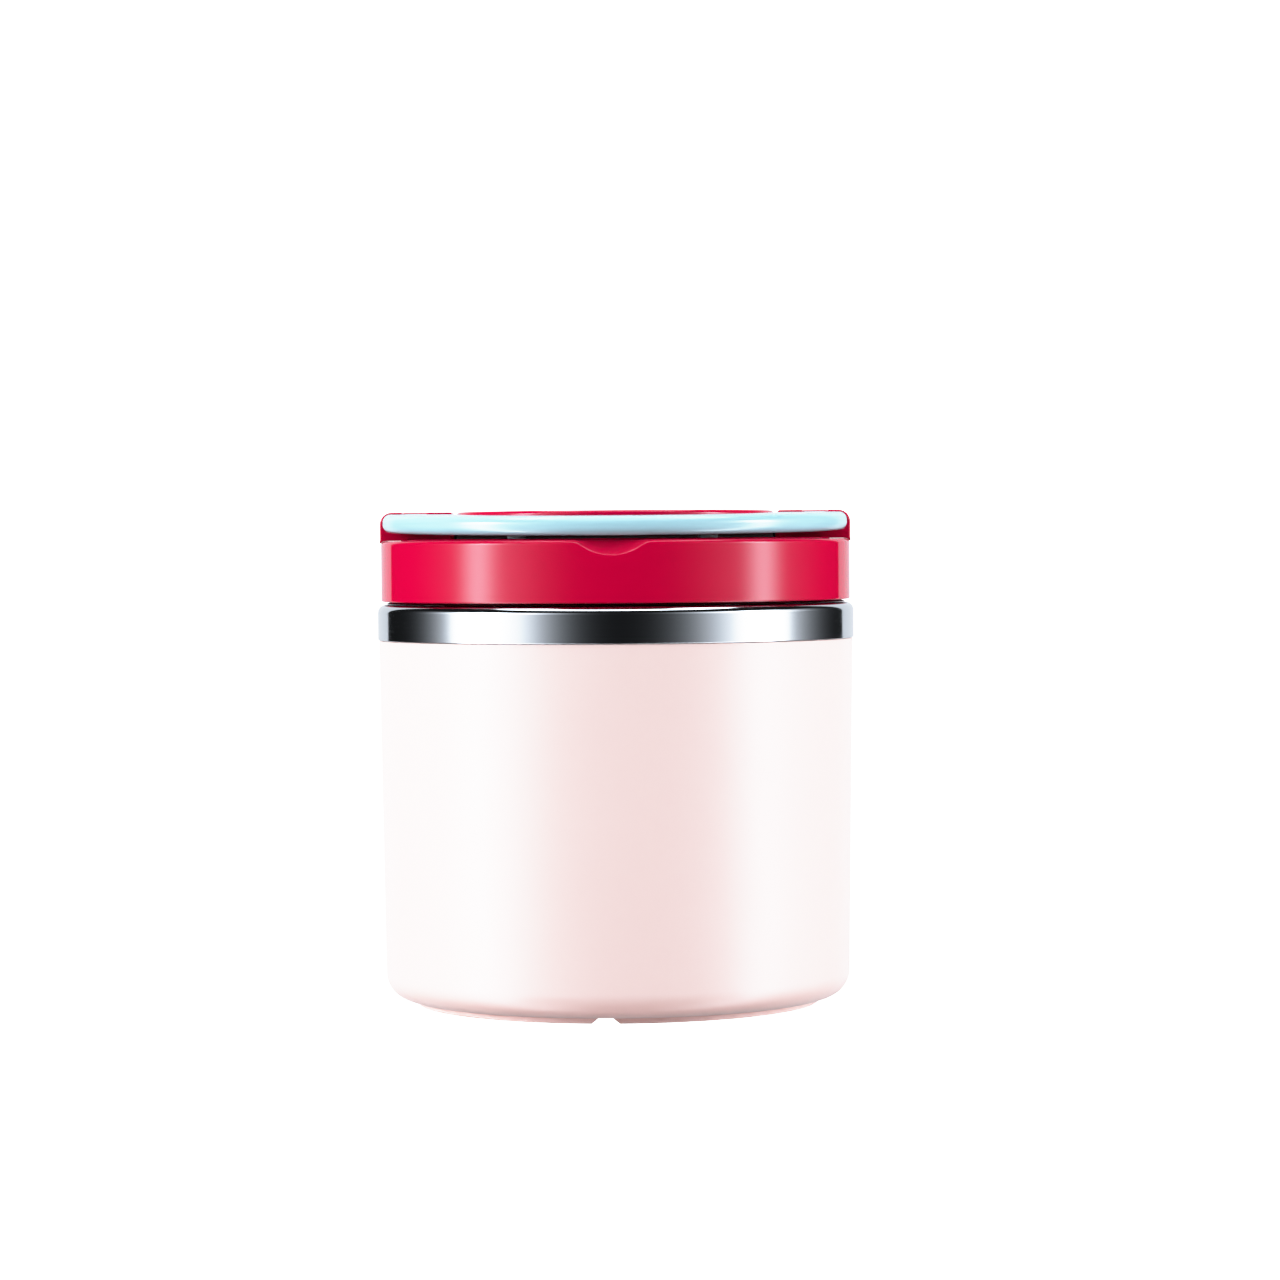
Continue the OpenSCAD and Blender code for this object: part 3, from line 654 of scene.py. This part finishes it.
def cheek_web(side, low):
    """Closes the lower part of the slit between a cheek and the raised centre."""
    half, top, edge = CHEEK_HALF - 1 * MM, PIVOT_Z - 2 * MM, 0.3 * MM
    x0, x1 = HUB_R - 1.2 * MM, CHEEK_IN + 1 * MM
    layers = []
    for z in heights(low, top, (0, edge, 4)):
        y = half - edge_inset(z, low, top, 0, edge)
        layers.append((z, [(x0, -y), (x1, -y), (x1, y), (x0, y)]))
    return stack(mirrored(layers, side))


def make_cap():
    z0, wall = cap_lo.z, 2.5 * MM
    plate_r, plate = 68.2 * MM, lid_hi.z + 0.4 * MM
    cover_r, pocket = 18.05 * MM, CAP_TOP - 2.6 * MM
    screw_r, shaft_r, shaft_top = 1.55 * MM, 5.05 * MM, 152.1 * MM
    boss_r, floor_r, floor = 11 * MM, 20 * MM, pocket - 2 * MM
    outline = rounded(
        [
            (HUB_R - wall, z0, 0.2 * MM),
            (plate_r, z0, 0.3 * MM),
            (plate_r, plate, 0.5 * MM),
            (HUB_R, plate, 0.6 * MM),
            (HUB_R, CAP_TOP, 1.2 * MM),
            (cover_r, CAP_TOP, 0.25 * MM),
            (cover_r, pocket, 0.2 * MM),
            (screw_r, pocket, 0),
            (screw_r, shaft_top, 0),
            (shaft_r, shaft_top, 0),
            (shaft_r, z0, 0.2 * MM),
            (boss_r, z0, 0.3 * MM),
            (boss_r, floor, 0.5 * MM),
            (floor_r, floor, 0.3 * MM),
            (floor_r, CAP_TOP - wall, 0.3 * MM),
            (HUB_R - wall, CAP_TOP - wall, 0.8 * MM),
        ],
        steps=10,
    )
    parts = [turned(outline, even_angles(288))]
    slot_low = PIVOT_Z - HANDLE_T / 2 - SLOT_UNDER
    low = lid_hi.z + 0.1 * MM
    for side in (1, -1):
        parts.append(cheek_base(side, low, slot_low))
        parts.append(cheek_head(side, slot_low, CAP_TOP))
        parts.append(cheek_web(side, low))
        parts.append(cheek_lip(side, low))
    finish_piece(joined("turning_cap", parts), "rotor", "crimson", "top_cap", look=CAP_RED)


def make_cover():
    r, z0, z1 = cover_hi.x, cover_lo.z, cover_hi.z
    inner, dish = 0.1 * MM, 0.3 * MM
    outline = rounded(
        [
            (inner, z0, 0),
            (r, z0, 0.1 * MM),
            (r, z1, 0.4 * MM),
            (r / 2, z1, 0.5 * MM),
            (inner, z1 - dish, 0),
        ],
        steps=8,
    )
    finish_piece(lathe("hub_button", outline, even_angles(144)), "rotor", "crimson", "hub_cover")


# ---------------------------------------------------------------- handle
def bail_edge(r, back, tip, side):
    """One edge of the handle from above, from right to left: a rounded corner, the arc and a corner.

    The corners, of radius tip, lie inside the arc (side -1) or outside it (side 1).
    """
    steps, corner_steps = 150, 10
    y_c = back - tip
    x_c = math.sqrt((r + side * tip) ** 2 - y_c * y_c)
    end = math.atan2(y_c, x_c) + (math.pi if side > 0 else 0)
    corner = []
    for k in range(corner_steps + 1):
        a = math.pi / 2 + (end - math.pi / 2) * k / corner_steps
        corner.append((x_c + tip * math.cos(a), y_c + tip * math.sin(a)))
    half = math.atan2(x_c, -y_c)
    arc = [on_circle(r, half - 2 * half * k / steps) for k in range(1, steps)]
    return corner + arc + [(-x, y) for x, y in reversed(corner)]


def bail_body():
    """The flat, curved plate of the handle."""
    half, round_out, round_in = HANDLE_T / 2, 2.6 * MM, 1.0 * MM
    tip_out, tip_in, tip_least = 3 * MM, 2 * MM, 0.3 * MM
    rings = []
    for z in heights(-half, half, (round_out, round_out, 9), (round_in, round_in, 5)):
        out = edge_inset(z, -half, half, round_out, round_out)
        into = edge_inset(z, -half, half, round_in, round_in)
        back = -HANDLE_BACK - into
        outer = bail_edge(HANDLE_R - out, back, max(tip_out - out, tip_least), -1)
        inner = bail_edge(HANDLE_IN + into, back, max(tip_in - into, tip_least), 1)
        rings.append([(x, y, z) for x, y in outer + inner[::-1]])
    size = len(rings[0])
    verts = [point for ring in rings for point in ring]
    top = len(verts) - size
    faces = []
    for low in range(0, top, size):
        high = low + size
        for k in range(size):
            after = (k + 1) % size
            faces.append((low + after, low + k, high + k, high + after))
    # The flat faces are strips between the outer and the inner edge.
    for k in range(size // 2 - 1):
        across = size - 1 - k
        faces.append((k, k + 1, across - 1, across))
        faces.append((top + k + 1, top + k, top + across, top + across - 1))
    return verts, faces


def arm_body(side):
    """The short arm from the handle's plate back to its pivot, and the barrel round the pin."""
    half, edge, steps = HANDLE_T / 2, 0.5 * MM, 16
    mid, wide = (ARM_IN + ARM_OUT) / 2, (ARM_OUT - ARM_IN) / 2
    start = -HANDLE_BACK - 3 * MM
    barrel = []
    for k in range(steps + 1):
        a = math.pi * k / steps
        barrel.append((half * math.sin(a), -half * math.cos(a)))
    outline = [(start, -half), *barrel, (start, half)]
    layers = []
    for t in (0, 0.3, 0.7, 1):
        a = math.pi / 2 * t
        layers.append((-wide + edge * (1 - math.cos(a)), edge * (1 - math.sin(a))))
    layers += [(-x, inset) for x, inset in reversed(layers)]
    sections = []
    for x, inset in layers:
        shrink = (half - inset) / half
        sections.append([(side * mid + x, y * (shrink if y > 0 else 1), z * shrink) for y, z in outline])
    return swept(sections)


def make_handle():
    obj = joined("bail_grip", [bail_body(), arm_body(-1), arm_body(1)])
    place = Matrix.Translation((0, 0, PIVOT_Z)) @ Matrix.Rotation(HANDLE_TILT, 4, "X")
    obj.data.transform(place)
    obj.data.update()
    finish_piece(obj, "handle", "light_blue", "bail_handle")


make_shell()
make_foot()
make_rim()
make_lid()
make_cap()
make_cover()
make_handle()


# ---------------------------------------------------------------- stage, light, camera
WHITE_STRENGTH = 3.0


def make_floor():
    """A pale floor that the camera sees as plain white, without a shadow."""
    radii, size = (0.2, 0.6, 1.5, 4.0), 96
    verts = [(r * math.cos(a), r * math.sin(a), 0) for r in radii for a in even_angles(size)]
    faces = [tuple(range(size))] + side_faces(len(radii), size, flip=True)
    obj = new_object("studio_floor", verts, faces)
    obj.location.z = -0.2 * MM
    mat, tree, bsdf, at = base_material("pale_floor")
    paper = two_tone(tree, noise(tree, at, 6, 4), (0.41, 0.295, 0.275), (0.43, 0.315, 0.295))
    tree.links.new(paper, bsdf.inputs["Base Color"])
    path = tree.nodes.new("ShaderNodeLightPath")
    lift = math_node(tree, "MULTIPLY", path.outputs["Is Camera Ray"], WHITE_STRENGTH)
    tree.links.new(lift, bsdf.inputs["Emission Strength"])
    bsdf.inputs["Emission Color"].default_value = (1, 1, 1, 1)
    bsdf.inputs["Roughness"].default_value = 0.85
    bsdf.inputs["Specular IOR Level"].default_value = 0.1
    obj.data.materials.append(mat)
    obj.visible_glossy = False


def make_backdrop():
    """A white dome that only the camera sees, so that the background is plain from every side."""
    size, rings, radius, lowest = 64, 24, 3.9, -0.2
    verts = []
    for i in range(rings):
        rise = lowest + (math.pi / 2 - lowest) * i / rings
        wide, high = radius * math.cos(rise), radius * math.sin(rise)
        verts += [(wide * math.cos(a), wide * math.sin(a), high) for a in even_angles(size)]
    faces = side_faces(rings, size)
    faces.append(tuple(len(verts) - size + k for k in range(size)))
    obj = new_object("studio_dome", verts, faces)
    mat = bpy.data.materials.new("white_dome")
    mat.use_nodes = True
    tree = mat.node_tree
    tree.nodes.clear()
    glow = tree.nodes.new("ShaderNodeEmission")
    glow.inputs["Color"].default_value = (1, 1, 1, 1)
    glow.inputs["Strength"].default_value = WHITE_STRENGTH
    out = tree.nodes.new("ShaderNodeOutputMaterial")
    tree.links.new(glow.outputs[0], out.inputs[0])
    obj.data.materials.append(mat)
    for kind in ("diffuse", "glossy", "transmission", "volume_scatter", "shadow"):
        setattr(obj, "visible_" + kind, False)


def make_world():
    """The studio as the object sees it: two tall soft boxes, a wall behind and a ring overhead."""
    world = bpy.data.worlds.new("studio")
    bpy.context.scene.world = world
    world.use_nodes = True
    tree = world.node_tree
    tree.nodes.clear()
    coord = tree.nodes.new("ShaderNodeTexCoord")
    split = tree.nodes.new("ShaderNodeSeparateXYZ")
    tree.links.new(coord.outputs["Generated"], split.inputs[0])
    x, y, z = split.outputs

    def calc(operation, *values):
        return math_node(tree, operation, *values)

    def ramp(value, low, high):
        """Rises smoothly from 0 to 1 between two angles in degrees."""
        node = tree.nodes.new("ShaderNodeMapRange")
        node.interpolation_type = "SMOOTHSTEP"
        node.inputs["From Min"].default_value = math.radians(low)
        node.inputs["From Max"].default_value = math.radians(high)
        tree.links.new(value, node.inputs["Value"])
        return node.outputs["Result"]

    azimuth = calc("ARCTAN2", x, calc("MULTIPLY", y, -1.0))
    elevation = calc("ARCSINE", z)

    def bell(centre, strength, width):
        """Brightest at its centre, falling away to both sides, in degrees."""
        d = calc("DIVIDE", calc("SUBTRACT", azimuth, math.radians(centre)), math.radians(width))
        shape = calc("EXPONENT", calc("MULTIPLY", calc("MULTIPLY", d, d), -1.0))
        return calc("MULTIPLY", shape, strength)

    # Each box is a narrow bright core in a wide soft glow, stronger in its upper part and cut off above.
    left = calc("ADD", bell(-62, 2.7, 24), bell(-69, 11.0, 8.9))
    right = calc("ADD", bell(72, 1.9, 26), bell(77, 10.3, 8.9))
    upper = ramp(elevation, 6, 14)
    below = calc("SUBTRACT", 1.0, ramp(elevation, 24, 31))
    tall = calc("MULTIPLY", calc("MULTIPLY_ADD", upper, 0.9, 1.0), below)
    boxes = calc("MULTIPLY", calc("ADD", left, right), tall)
    behind = calc("GREATER_THAN", calc("ABSOLUTE", azimuth), math.radians(142))
    wall = calc("MULTIPLY", behind, calc("LESS_THAN", elevation, math.radians(70)))
    wall = calc("MULTIPLY", wall, 0.95)
    overhead = calc("SUBTRACT", ramp(elevation, 58, 62), ramp(elevation, 72, 76))
    overhead = calc("MULTIPLY_ADD", overhead, 6.0, 0.012)
    background = tree.nodes.new("ShaderNodeBackground")
    background.inputs["Color"].default_value = (0.94, 1.0, 1.08, 1)
    tree.links.new(calc("ADD", calc("ADD", boxes, wall), overhead), background.inputs["Strength"])
    out = tree.nodes.new("ShaderNodeOutputWorld")
    tree.links.new(background.outputs[0], out.inputs[0])
    world.cycles.sampling_method = "MANUAL"
    world.cycles.sample_map_resolution = 1024


def make_lights():
    """Soft fill from both sides that shapes the matt surfaces and leaves the reflections to the studio."""
    for name, azimuth, elevation, power in (
        ("fill_left", -89, 20, 3.5),
        ("fill_right", 94, 22, 2.3),
    ):
        light = bpy.data.lights.new(name, "SUN")
        light.energy = power
        light.angle = math.radians(60)
        light.specular_factor = 0
        obj = bpy.data.objects.new(name, light)
        bpy.context.scene.collection.objects.link(obj)
        obj.visible_glossy = False
        around, rise = math.radians(azimuth), math.radians(elevation)
        away = Vector((*on_circle(math.cos(rise), around), math.sin(rise)))
        obj.rotation_euler = away.to_track_quat("Z", "Y").to_euler()


def tone_curve():
    """A photographic shoulder: bright tones ease into white instead of clipping."""
    brightest = 8.0
    shoulder = ((0.4, 0.4), (0.8, 0.8), (0.95, 0.9), (1.2, 0.96), (1.6, 0.99), (2.4, 1.0))
    view = bpy.context.scene.view_settings
    view.view_transform = "Standard"
    view.use_curve_mapping = True
    mapping = view.curve_mapping
    mapping.use_clip = False
    mapping.clip_max_x = brightest
    curve = mapping.curves[3]
    curve.points[0].location = (0, 0)
    curve.points[1].location = (brightest, 1.002)
    for x, y in shoulder:
        curve.points.new(x, y)
    mapping.update()


def make_camera():
    data = bpy.data.cameras.new("camera")
    obj = bpy.data.objects.new("camera", data)
    bpy.context.scene.collection.objects.link(obj)
    data.sensor_width = 36
    data.lens = 112.5
    data.clip_end = 50
    azimuth, distance, height = math.radians(0.92), 1.276, 0.1453
    pitch, yaw, roll = math.radians(1.352), math.radians(0.344), math.radians(-0.40)
    look = Matrix.Rotation(azimuth - yaw, 4, "Z") @ Matrix.Rotation(math.pi / 2 - pitch, 4, "X")
    place = Matrix.Translation((*on_circle(distance, azimuth), height))
    obj.matrix_world = place @ look @ Matrix.Rotation(roll, 4, "Z")
    bpy.context.scene.camera = obj


make_floor()
make_backdrop()
make_world()
make_lights()
make_camera()
tone_curve()
